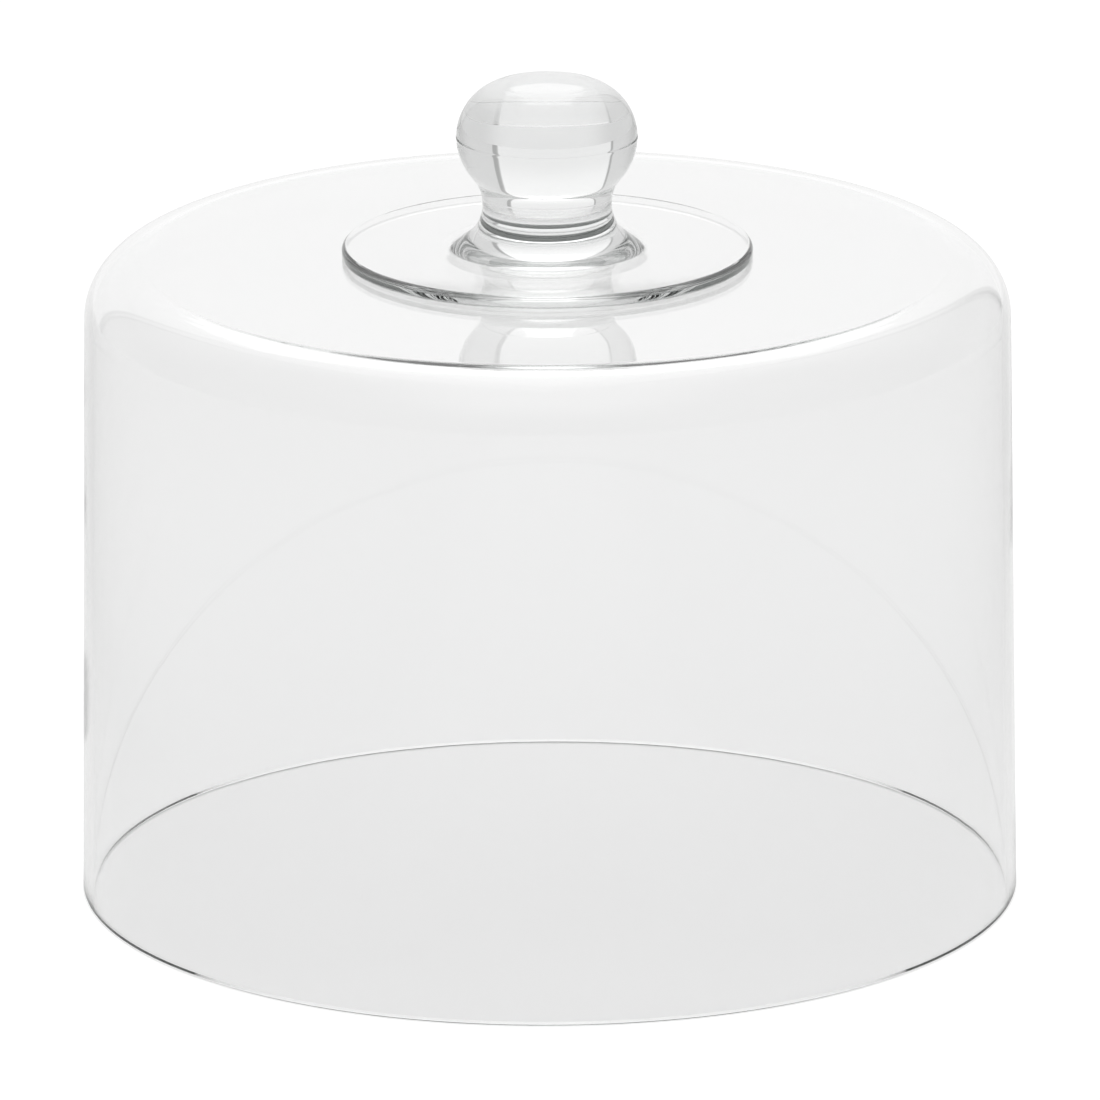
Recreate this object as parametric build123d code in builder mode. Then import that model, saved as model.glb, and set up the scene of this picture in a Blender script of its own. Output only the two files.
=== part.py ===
"""Clear cloche for a cake or a cheese board: a tall bell with a ball knob bonded to its flat top.

Millimetres, +Z up.  The origin is the middle of the circle that the rim stands on.
"""

import os
from math import atan2, cos, degrees, radians, sqrt, tan

from build123d import *

os.makedirs("parts", exist_ok=True)

# Bell
rim_radius = 142.5          # outside of the rim, where the bell stands
bell_height = 197.4         # table to the flat top
wall = 3.0                  # thickness of the side, square to its face
top_thickness = 3.4         # thickness of the flat top
draft = 0.83                # lean of the side, in degrees, that lets the bell off its mould
shoulder_radius = 18.4      # outside rounding between the side and the flat top
rim_bevel = 0.7             # ground bevel on both rim edges, which leaves a flat ring to stand on

# Bond between the knob and the bell
bond_thickness = 0.12       # cured clear adhesive
bond_margin = 0.6           # how far the adhesive stays in from the edge of the foot

# Knob
foot_radius = 62.0          # thin disc that spreads the knob's pull over the flat top
foot_thickness = 3.4
foot_bevel = 1.4            # polished bevel round the disc's upper edge
ball_radius = 27.3          # the ball at its widest
ball_height = 36.8          # widest line of the ball, above the underside of the foot
crown_rise = 18.5           # top of the knob above that line
side_round = 17.1           # rounding of the ball's upper side
under_round = 18.3          # rounding of the ball's lower side
waist_radius = 19.5         # the neck at its narrowest
neck_round = 13.3           # hollow between the ball and the waist
flare_reach = 13.2          # how far out from the waist the flare runs into the foot

# Heights that follow from the stack of pieces
bond_bottom = bell_height
knob_bottom = bond_bottom + bond_thickness
foot_top = knob_bottom + foot_thickness
ball_middle = knob_bottom + ball_height
knob_top = ball_middle + crown_rise

# Bell section: a straight side that leans in, a round shoulder and a flat top, outside and inside
lean = tan(radians(draft))
wall_across = wall / cos(radians(draft))
top_underside = bell_height - top_thickness
inner_rim_radius = rim_radius - wall_across
inner_shoulder_radius = shoulder_radius - wall


def shoulder_centre(side_radius, top, rounding):
    """Centre of the shoulder arc that touches both a leaning side and a flat top."""
    height = top - rounding
    return (side_radius - lean * height - rounding / cos(radians(draft)), height)


outer_centre = shoulder_centre(rim_radius, bell_height, shoulder_radius)
inner_centre = shoulder_centre(inner_rim_radius, top_underside, inner_shoulder_radius)

# Knob section: arcs that run into one another without a corner.
# The side arc and the crown arc share a tangent where the line through their centres cuts them.
side_centre_radius = ball_radius - side_round
crown_round = (side_centre_radius**2 + crown_rise**2 - side_round**2) / (2 * (crown_rise - side_round))
crown_centre_height = knob_top - crown_round
crown_angle = degrees(atan2(ball_middle - crown_centre_height, side_centre_radius))

# The arc under the ball and the hollow of the neck touch on the line through their centres.
under_centre_radius = ball_radius - under_round
neck_centre_radius = waist_radius + neck_round
neck_reach = neck_centre_radius - under_centre_radius
neck_drop = sqrt((under_round + neck_round) ** 2 - neck_reach**2)
under_angle = degrees(atan2(neck_drop, neck_reach))
waist_height = ball_middle - neck_drop

# Below the waist a quarter oval runs out into the upper face of the foot.
flare_rise = waist_height - foot_top
flare_end_radius = waist_radius + flare_reach


# Bell: one clear wall, open below, that stands on a flat ground ring
with BuildPart() as bell:
    with BuildSketch(Plane.XZ):
        with BuildLine():
            outer_shoulder = CenterArc(outer_centre, shoulder_radius, draft, 90 - draft)
            inner_shoulder = CenterArc(inner_centre, inner_shoulder_radius, draft, 90 - draft)
            Polyline(
                outer_shoulder @ 0,
                (rim_radius - lean * rim_bevel, rim_bevel),
                (rim_radius - rim_bevel, 0),
                (inner_rim_radius + rim_bevel, 0),
                (inner_rim_radius - lean * rim_bevel, rim_bevel),
                inner_shoulder @ 0,
            )
            Polyline(inner_shoulder @ 1, (0, top_underside), (0, bell_height), outer_shoulder @ 1)
        make_face()
    revolve(axis=Axis.Z)
bell.part.label = "bell"
export_step(bell.part, "parts/bell.step")


# Bond film: a thin disc of clear adhesive, face to face with the bell's top and the knob's foot
with BuildPart() as bond_film:
    with BuildSketch(Plane.XY.offset(bond_bottom)):
        Circle(foot_radius - bond_margin)
    extrude(amount=bond_thickness)
bond_film.part.label = "bond_film"
export_step(bond_film.part, "parts/bond_film.step")


# Knob: ball, waist and foot in one solid piece
with BuildPart() as knob:
    with BuildSketch(Plane.XZ):
        with BuildLine():
            CenterArc((0, crown_centre_height), crown_round, crown_angle, 90 - crown_angle)
            CenterArc((side_centre_radius, ball_middle), side_round, 0, crown_angle)
            CenterArc((under_centre_radius, ball_middle), under_round, -under_angle, under_angle)
            CenterArc((neck_centre_radius, waist_height), neck_round, 180 - under_angle, under_angle)
            EllipticalCenterArc((flare_end_radius, waist_height), flare_reach, flare_rise, 180, arc_size=90)
            Polyline(
                (flare_end_radius, foot_top),
                (foot_radius - foot_bevel, foot_top),
                (foot_radius, foot_top - foot_bevel),
                (foot_radius, knob_bottom),
                (0, knob_bottom),
                (0, knob_top),
            )
        make_face()
    revolve(axis=Axis.Z)
knob.part.label = "knob"
export_step(knob.part, "parts/knob.step")
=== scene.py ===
from math import atan2, cos, degrees, dist, pi, radians, sin, sqrt, tan

import bpy
from mathutils import Matrix, Vector


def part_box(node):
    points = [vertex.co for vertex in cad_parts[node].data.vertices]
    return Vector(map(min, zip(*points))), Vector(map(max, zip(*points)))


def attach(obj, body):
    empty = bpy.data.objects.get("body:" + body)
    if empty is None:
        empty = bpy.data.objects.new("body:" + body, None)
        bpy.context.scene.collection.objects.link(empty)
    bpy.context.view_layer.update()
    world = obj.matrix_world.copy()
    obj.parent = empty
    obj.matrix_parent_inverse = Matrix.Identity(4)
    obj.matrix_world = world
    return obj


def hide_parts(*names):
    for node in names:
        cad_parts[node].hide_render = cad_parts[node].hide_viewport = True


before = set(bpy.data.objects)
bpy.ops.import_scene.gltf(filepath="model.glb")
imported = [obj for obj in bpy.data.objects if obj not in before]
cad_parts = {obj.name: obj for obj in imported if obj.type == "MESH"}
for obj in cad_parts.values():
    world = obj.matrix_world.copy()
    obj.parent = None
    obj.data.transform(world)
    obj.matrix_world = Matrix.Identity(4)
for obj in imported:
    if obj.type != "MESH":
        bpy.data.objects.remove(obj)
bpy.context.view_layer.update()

MM = 0.001

# Camera, fitted to the outline of the bell in the photograph (lengths in metres, angles in radians)
IMAGE_SIZE = 1100
CAMERA_BACK = 3.90945
CAMERA_HEIGHT = 1.26422
CAMERA_PITCH = 0.288361
CAMERA_YAW = 0.000113
CAMERA_ROLL = -0.004
CAMERA_NEAR = 0.1
CAMERA_FAR = 50.0
FOCAL_PIXELS = 13437.2
SENSOR_WIDTH = 36.0

# Sizes repeated from the solids, in millimetres and degrees
RIM_RADIUS = 142.5
WALL = 3.0
TOP_THICKNESS = 3.4
DRAFT = 0.83
SHOULDER_RADIUS = 18.4
RIM_BEVEL = 0.7
BOND_MARGIN = 0.6
FOOT_THICKNESS = 3.4
BALL_RADIUS = 27.3
BALL_HEIGHT = 36.8
CROWN_RISE = 18.5
SIDE_ROUND = 17.1
UNDER_ROUND = 18.3
WAIST_RADIUS = 19.5
NECK_ROUND = 13.3

# Heights and the foot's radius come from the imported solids
BELL_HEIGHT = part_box("bell")[1].z / MM
KNOB_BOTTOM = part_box("knob")[0].z / MM
KNOB_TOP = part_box("knob")[1].z / MM
FOOT_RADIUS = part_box("knob")[1].x / MM
BOND_RADIUS = FOOT_RADIUS - BOND_MARGIN

# Fine shapes of the knob, in millimetres
SEAM_HEIGHT = 0.15
SEAM_WIDTH = 1.2
FOOT_ROUND = 1.6
FLARE_REACH = 12.0
FILM_GAP = 0.01             # keeps the faces of touching pieces apart

# Steps of the turned meshes: how many round a piece and across the mould line, and degrees between
# the points of an arc
AROUND = 288
SEAM_PARTS = 8
ARC_STEP = 2.0
UNDER_FOOT_STEP = 15.0
FOOT_EDGE_STEP = 6.0
SHARP_ANGLE = 30.0
SAME_POINT = 1e-6

# Glass: light lost along a metre of it, its slight tint, its waves and its smudges
GLASS_INDEX = 1.5
GLASS_LOSS = 2.2
GLASS_TINT = (0.0, 0.06, 0.03)
BELL_WAVES = 0.0001
KNOB_WAVES = 0.0002
WAVE_SCALE = 16.0
WAVE_DETAIL = 1
RIPPLE_SCALE = 55.0
RIPPLE_DETAIL = 2
RIPPLE_SHARE = 0.06
SMUDGE_SCALE = 28.0
SMUDGE_DETAIL = 5
SMUDGE_SPAN = (0.56, 0.74)
SMUDGE_ROUGHNESS = 0.02

# Floor, in metres. The gap keeps it apart from the rim's flat face
FLOOR_RADIUS = 3.0
FLOOR_SIDES = 96
FLOOR_GAP = 0.00005
FLOOR_COLOUR = 0.9

# Share of the floor that glows by itself, seen straight and through glass, and how brightly. The
# rest is plain diffuse and takes the object's shadow. Through glass the glow is painted shade: it
# is dimmer than seen straight, dimmer towards the front, and with X over Y dimmer to the sides
GLOW_SHARE = 0.5
GLOW_SHARE_IN_GLASS = 0.4
GLOW_LEVEL = 1.35
GLOW_DEPTH = (-0.5, 0.5)
PAINTED_SHADE_DEPTH_LEVELS = (0.64, 1.0)
GLOW_ASIDE = (0.28, 0.68)
PAINTED_SHADE_ASIDE_LEVELS = (1.0, 0.65)

# Studio light, set by direction: a bright panel behind with a dark gap on each side of it, darker
# sides, a slightly darker front, and a sky that brightens towards the top. An azimuth is in degrees,
# 0 behind the object and positive to the right. A rise is the Z of the direction. Levels are
# strengths of white
BACKDROP_WHITE = 1.05
SIDE_AZIMUTH = (45.0, 80.0)
SIDE_LEVELS = (0.94, 0.68)
PANEL_AZIMUTH = (-34.0, 24.0)
PANEL_EDGE = 1.0
PANEL_RISE = (0.03, 0.34)
PANEL_LEVELS = (0.24, 0.38)
GAP_AZIMUTHS = ((23.5, 27.0), (-36.0, -34.2))
GAP_EDGE = 0.6
GAP_LOSS = 0.4
FRONT_Y = (-0.75, -0.45)
FRONT_RISE = (0.04, 0.2)
FRONT_LOSS = 0.1
SKY_RISE = (0.3, 0.95)
SKY_LEVEL = 0.7
SKY_ASIDE = (0.15, 0.6)
SKY_ASIDE_SHARES = (1.0, 0.3)

# Soft lamp above and behind: its sides as X over Z and Y over Z of the direction, and the rise
# where it starts
LAMP_X = (-0.4, 0.35)
LAMP_Y = (0.96, 1.9)
LAMP_EDGE = 0.04
LAMP_RISE = (0.4, 0.45)
LAMP_LEVEL = 0.75
LEAST_RISE = 0.05           # keeps the slopes finite at and below the horizon

# Bounces of light: inside the top and the wall it is reflected many times
GLASS_BOUNCES = 64
FLOOR_BOUNCES = 4
CLEAR_BOUNCES = 32


def arc(centre, radius_x, radius_y, start, end, step=ARC_STEP):
    """Points of an arc or an oval quarter, from start to end in degrees."""
    count = max(2, round(abs(end - start) / step))
    angles = [radians(start + (end - start) * i / count) for i in range(count + 1)]
    return [(centre[0] + radius_x * cos(a), centre[1] + radius_y * sin(a)) for a in angles]


def ring(radius, height, sides):
    """Corners of a level ring round the vertical axis."""
    angles = [2 * pi * i / sides for i in range(sides)]
    return [(radius * cos(a), radius * sin(a), height) for a in angles]


def turned(name, section, material, bonded):
    """A piece turned from a section of (radius, height) points in millimetres.

    The bonded strips of the section are numbered from 0 up, or from -1 down. The glass reads 0 on
    their faces and 1 on the rest.
    """
    moved = [here for before, here in zip(section, section[1:]) if dist(before, here) > SAME_POINT]
    vertices = []
    rows = []
    for radius, height in section[:1] + moved:
        if radius < SAME_POINT:
            rows.append([len(vertices)] * AROUND)
            vertices.append((0, 0, height * MM))
        else:
            rows.append(list(range(len(vertices), len(vertices) + AROUND)))
            vertices += ring(radius * MM, height * MM, AROUND)
    faces = []
    in_air = []
    bonded_strips = [strip % len(moved) for strip in bonded]
    for strip, (lower, upper) in enumerate(zip(rows, rows[1:])):
        for i in range(AROUND):
            j = (i + 1) % AROUND
            corners = [lower[i], lower[j], upper[j], upper[i]]
            faces.append(list(dict.fromkeys(corners)))
            in_air.append(0.0 if strip in bonded_strips else 1.0)
    mesh = bpy.data.meshes.new(name)
    mesh.from_pydata(vertices, [], faces)
    mesh.validate()
    mesh.shade_smooth()
    mesh.set_sharp_from_angle(angle=radians(SHARP_ANGLE))
    piece = bpy.data.objects.new(name, mesh)
    bpy.context.scene.collection.objects.link(piece)
    mesh.materials.append(material)
    mesh.attributes.new("in_air", "FLOAT", "FACE").data.foreach_set("value", in_air)
    return piece


def bell_section():
    lean = tan(radians(DRAFT))
    slant = cos(radians(DRAFT))
    inner_rim = RIM_RADIUS - WALL / slant
    underside = BELL_HEIGHT - TOP_THICKNESS
    inner_round = SHOULDER_RADIUS - WALL
    outer_z = BELL_HEIGHT - SHOULDER_RADIUS
    inner_z = underside - inner_round
    outer_centre = (RIM_RADIUS - lean * outer_z - SHOULDER_RADIUS / slant, outer_z)
    inner_centre = (inner_rim - lean * inner_z - inner_round / slant, inner_z)
    inside = arc(inner_centre, inner_round, inner_round, 90, DRAFT)
    rim = [
        (inner_rim - lean * RIM_BEVEL, RIM_BEVEL),
        (inner_rim + RIM_BEVEL, 0),
        (RIM_RADIUS - RIM_BEVEL, 0),
        (RIM_RADIUS - lean * RIM_BEVEL, RIM_BEVEL),
    ]
    outside = arc(outer_centre, SHOULDER_RADIUS, SHOULDER_RADIUS, DRAFT, 90)
    contact = [(BOND_RADIUS, BELL_HEIGHT), (0, BELL_HEIGHT)]
    return [(0, underside)] + inside + rim + outside + contact


def knob_foot():
    """The foot's underside and its polished edge, up to the start of the flare."""
    round_x = FOOT_RADIUS - FOOT_ROUND
    round_z = KNOB_BOTTOM + FOOT_THICKNESS - FOOT_ROUND
    margin_centre = (BOND_RADIUS, KNOB_BOTTOM + BOND_MARGIN)
    margin = arc(margin_centre, BOND_MARGIN, BOND_MARGIN, 270, 360, UNDER_FOOT_STEP)
    edge = arc((round_x, round_z), FOOT_ROUND, FOOT_ROUND, 0, 90, FOOT_EDGE_STEP)
    return [(0, KNOB_BOTTOM)] + margin + edge


def mould_line(ball_z):
    """A low round bead where the two halves of the mould met, at the widest part of the ball."""
    points = []
    for part in range(1 - SEAM_PARTS // 2, SEAM_PARTS // 2):
        rise = part * SEAM_WIDTH / SEAM_PARTS
        fall = rise**2 / (SIDE_ROUND + UNDER_ROUND)
        bead = SEAM_HEIGHT * cos(pi * rise / SEAM_WIDTH) ** 2
        points.append((BALL_RADIUS - fall + bead, ball_z + rise))
    return points


def knob_section():
    foot_top = KNOB_BOTTOM + FOOT_THICKNESS
    ball_z = KNOB_BOTTOM + BALL_HEIGHT
    side_x = BALL_RADIUS - SIDE_ROUND
    crown = (side_x**2 + CROWN_RISE**2 - SIDE_ROUND**2) / (2 * (CROWN_RISE - SIDE_ROUND))
    crown_z = KNOB_TOP - crown
    crown_angle = degrees(atan2(ball_z - crown_z, side_x))
    under_x = BALL_RADIUS - UNDER_ROUND
    neck_x = WAIST_RADIUS + NECK_ROUND
    drop = sqrt((UNDER_ROUND + NECK_ROUND) ** 2 - (neck_x - under_x) ** 2)
    under_angle = degrees(atan2(drop, neck_x - under_x))
    waist_z = ball_z - drop
    flare = arc((WAIST_RADIUS + FLARE_REACH, waist_z), FLARE_REACH, waist_z - foot_top, 270, 180)
    neck = arc((neck_x, waist_z), NECK_ROUND, NECK_ROUND, 180, 180 - under_angle)
    under = arc((under_x, ball_z), UNDER_ROUND, UNDER_ROUND, -under_angle, 0)
    side = arc((side_x, ball_z), SIDE_ROUND, SIDE_ROUND, 0, crown_angle)
    top = arc((0, crown_z), crown, crown, crown_angle, 90)
    return knob_foot() + flare + neck + under[:-1] + mould_line(ball_z) + side[1:] + top


def bond_section():
    low = BELL_HEIGHT + FILM_GAP
    high = KNOB_BOTTOM - FILM_GAP
    return [(0, low), (BOND_RADIUS, low), (BOND_RADIUS, high), (0, high)]


def add_node(tree, kind, inputs=None, **settings):
    """A node with its settings made and its inputs filled, each with a value or another's output."""
    node = tree.nodes.new("ShaderNode" + kind)
    for name, value in settings.items():
        setattr(node, name, value)
    for key, value in (inputs or {}).items():
        if isinstance(value, bpy.types.NodeSocket):
            tree.links.new(value, node.inputs[key])
        else:
            node.inputs[key].default_value = value
    return node


def calculate(tree, operation, *values):
    return add_node(tree, "Math", dict(enumerate(values)), operation=operation).outputs[0]


def ramp(tree, value, span, levels):
    """Goes smoothly from the first level to the second while the value crosses the span."""
    inputs = {
        "Value": value,
        "From Min": span[0],
        "From Max": span[1],
        "To Min": levels[0],
        "To Max": levels[1],
    }
    return add_node(tree, "MapRange", inputs, interpolation_type="SMOOTHSTEP").outputs[0]


def between(tree, value, span, edge):
    """1 inside the span and 0 outside it, with soft edges."""
    above = ramp(tree, value, (span[0] - edge, span[0] + edge), (0, 1))
    below = ramp(tree, value, (span[1] - edge, span[1] + edge), (1, 0))
    return calculate(tree, "MULTIPLY", above, below)


def noise(tree, place, scale, detail):
    inputs = {"Vector": place, "Scale": scale, "Detail": detail}
    return add_node(tree, "TexNoise", inputs).outputs[0]


def glass(name, wave_height):
    """Clear glass that loses light along the way, with a slightly wavy skin and faint smudges."""
    material = bpy.data.materials.new(name)
    material.use_nodes = True
    tree = material.node_tree
    shader = tree.nodes["Principled BSDF"]
    shader.inputs["Base Color"].default_value = (1.0, 1.0, 1.0, 1.0)
    shader.inputs["Transmission Weight"].default_value = 1.0

    # Faces in air refract. Bonded faces don't, so light goes straight on from piece to piece
    in_air = add_node(tree, "Attribute", attribute_name="in_air").outputs["Fac"]
    index = add_node(tree, "MapRange", {"Value": in_air, "To Min": 1.0, "To Max": GLASS_INDEX})
    tree.links.new(index.outputs[0], shader.inputs["IOR"])

    # Slow waves left by the mould, and finer ripple over them
    place = add_node(tree, "TexCoord").outputs["Object"]
    waves = noise(tree, place, WAVE_SCALE, WAVE_DETAIL)
    ripple = noise(tree, place, RIPPLE_SCALE, RIPPLE_DETAIL)
    skin = calculate(tree, "MULTIPLY_ADD", ripple, RIPPLE_SHARE, waves)
    bump = add_node(tree, "Bump", {"Height": skin, "Distance": wave_height})
    tree.links.new(bump.outputs[0], shader.inputs["Normal"])

    # Smudges in a few places, nothing elsewhere
    patches = noise(tree, place, SMUDGE_SCALE, SMUDGE_DETAIL)
    smudge = ramp(tree, patches, SMUDGE_SPAN, (0, SMUDGE_ROUGHNESS))
    roughness = calculate(tree, "MULTIPLY", smudge, in_air)
    tree.links.new(roughness, shader.inputs["Roughness"])

    loss = add_node(tree, "VolumeAbsorption", {"Color": (*GLASS_TINT, 1.0), "Density": GLASS_LOSS})
    tree.links.new(loss.outputs[0], tree.nodes["Material Output"].inputs["Volume"])
    return material


def floor_material():
    """Plain white to the camera; seen through the glass, a little darker, with painted shade towards
    the front and sides.
    """
    material = bpy.data.materials.new("floor_white")
    material.use_nodes = True
    tree = material.node_tree
    tree.nodes.clear()
    rays = add_node(tree, "LightPath").outputs
    in_glass = calculate(tree, "MAXIMUM", rays["Is Glossy Ray"], rays["Is Transmission Ray"])
    seen = calculate(tree, "MAXIMUM", rays["Is Camera Ray"], in_glass)
    share = ramp(tree, in_glass, (0, 1), (GLOW_SHARE, GLOW_SHARE_IN_GLASS))
    share = calculate(tree, "MULTIPLY", share, seen)

    # Painted shade on the floor seen through glass: its glow dims towards the front and, with X over
    # Y, to the sides
    place = add_node(tree, "TexCoord").outputs["Object"]
    x, y = add_node(tree, "SeparateXYZ", {0: place}).outputs[:2]
    along = ramp(tree, y, GLOW_DEPTH, PAINTED_SHADE_DEPTH_LEVELS)
    away = calculate(tree, "MAXIMUM", y, GLOW_DEPTH[1])
    aside = calculate(tree, "ABSOLUTE", calculate(tree, "DIVIDE", x, away))
    painted_side_shade = ramp(tree, aside, GLOW_ASIDE, PAINTED_SHADE_ASIDE_LEVELS)
    painted_shade_in_glass = calculate(tree, "MULTIPLY", along, painted_side_shade)
    levels = {"Factor": in_glass, "A": GLOW_LEVEL, "B": painted_shade_in_glass}
    level = add_node(tree, "Mix", levels, data_type="FLOAT").outputs[0]

    colour = (FLOOR_COLOUR, FLOOR_COLOUR, FLOOR_COLOUR, 1.0)
    diffuse = add_node(tree, "BsdfDiffuse", {"Color": colour}).outputs[0]
    glow = add_node(tree, "Emission", {"Strength": level}).outputs[0]
    mix = add_node(tree, "MixShader", {"Fac": share, 1: diffuse, 2: glow}).outputs[0]
    add_node(tree, "OutputMaterial", {"Surface": mix})
    return material


def add_floor():
    mesh = bpy.data.meshes.new("floor")
    mesh.from_pydata(ring(FLOOR_RADIUS, -FLOOR_GAP, FLOOR_SIDES), [], [list(range(FLOOR_SIDES))])
    mesh.materials.append(floor_material())
    floor = bpy.data.objects.new("floor", mesh)
    bpy.context.scene.collection.objects.link(floor)


def studio_level(tree):
    """Strength of the light from each direction: sides, panel behind, dark gaps, sky and lamp."""
    direction = add_node(tree, "TexCoord").outputs["Generated"]
    x, y, rise = add_node(tree, "SeparateXYZ", {0: direction}).outputs
    azimuth = calculate(tree, "ARCTAN2", x, y)

    def turn(span):
        return tuple(radians(angle) for angle in span)

    turned_away = calculate(tree, "ABSOLUTE", azimuth)
    level = ramp(tree, turned_away, turn(SIDE_AZIMUTH), SIDE_LEVELS)
    panel = between(tree, azimuth, turn(PANEL_AZIMUTH), radians(PANEL_EDGE))
    panel = calculate(tree, "MULTIPLY", panel, ramp(tree, rise, PANEL_RISE, PANEL_LEVELS))
    level = calculate(tree, "ADD", level, panel)
    for span in GAP_AZIMUTHS:
        gap = between(tree, azimuth, turn(span), radians(GAP_EDGE))
        level = calculate(tree, "SUBTRACT", level, calculate(tree, "MULTIPLY", gap, GAP_LOSS))

    front = ramp(tree, y, FRONT_Y, (1, 0))
    dark = calculate(tree, "MULTIPLY", front, ramp(tree, rise, FRONT_RISE, (1, 0)))
    kept = calculate(tree, "SUBTRACT", 1.0, calculate(tree, "MULTIPLY", dark, FRONT_LOSS))
    level = calculate(tree, "MULTIPLY", level, kept)

    sky = ramp(tree, rise, SKY_RISE, (0, SKY_LEVEL))
    aside = ramp(tree, calculate(tree, "ABSOLUTE", x), SKY_ASIDE, SKY_ASIDE_SHARES)
    level = calculate(tree, "ADD", level, calculate(tree, "MULTIPLY", sky, aside))

    upper = calculate(tree, "MAXIMUM", rise, LEAST_RISE)
    lamp = ramp(tree, rise, LAMP_RISE, (0, LAMP_LEVEL))
    for part, span in ((x, LAMP_X), (y, LAMP_Y)):
        slope = calculate(tree, "DIVIDE", part, upper)
        lamp = calculate(tree, "MULTIPLY", lamp, between(tree, slope, span, LAMP_EDGE))
    return calculate(tree, "ADD", level, lamp)


def add_world():
    world = bpy.data.worlds.new("studio")
    bpy.context.scene.world = world
    world.use_nodes = True
    tree = world.node_tree
    tree.nodes.clear()
    camera_ray = add_node(tree, "LightPath").outputs["Is Camera Ray"]
    backdrop = calculate(tree, "MULTIPLY", camera_ray, BACKDROP_WHITE)
    level = calculate(tree, "MAXIMUM", studio_level(tree), backdrop)
    background = add_node(tree, "Background", {"Strength": level}).outputs[0]
    add_node(tree, "OutputWorld", {"Surface": background})


def add_camera():
    data = bpy.data.cameras.new("camera")
    data.sensor_width = SENSOR_WIDTH
    data.sensor_fit = "HORIZONTAL"
    data.lens = SENSOR_WIDTH * FOCAL_PIXELS / IMAGE_SIZE
    data.clip_start = CAMERA_NEAR
    data.clip_end = CAMERA_FAR
    camera = bpy.data.objects.new("camera", data)
    level = cos(CAMERA_PITCH)
    forward = Vector((sin(CAMERA_YAW) * level, cos(CAMERA_YAW) * level, -sin(CAMERA_PITCH)))
    right = Vector((cos(CAMERA_YAW), -sin(CAMERA_YAW), 0))
    up = right.cross(forward)
    rolled_right = right * cos(CAMERA_ROLL) + up * sin(CAMERA_ROLL)
    rolled_up = up * cos(CAMERA_ROLL) - right * sin(CAMERA_ROLL)
    rotation = Matrix((rolled_right, rolled_up, -forward)).transposed().to_4x4()
    camera.matrix_world = Matrix.Translation((0, -CAMERA_BACK, CAMERA_HEIGHT)) @ rotation
    bpy.context.scene.collection.objects.link(camera)
    bpy.context.scene.camera = camera


def settings():
    scene = bpy.context.scene
    scene.view_settings.view_transform = "Standard"
    scene.cycles.max_bounces = GLASS_BOUNCES
    scene.cycles.transmission_bounces = GLASS_BOUNCES
    scene.cycles.glossy_bounces = GLASS_BOUNCES
    scene.cycles.diffuse_bounces = FLOOR_BOUNCES
    scene.cycles.transparent_max_bounces = CLEAR_BOUNCES
    scene.cycles.use_denoising = True
    scene.cycles.blur_glossy = 0.0


settings()
add_camera()
add_floor()
add_world()

bell_glass = glass("bell_glass", BELL_WAVES)
knob_glass = glass("knob_glass", KNOB_WAVES)
bond_clear = glass("bond_clear", BELL_WAVES)

bell = turned("bell_shell", bell_section(), bell_glass, [-1])
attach(bell, "root")
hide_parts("bell")

knob = turned("knob_body", knob_section(), knob_glass, [0])
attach(knob, "root")
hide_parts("knob")

bond = turned("bond_disc", bond_section(), bond_clear, [0, -1])
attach(bond, "root")
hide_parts("bond_film")
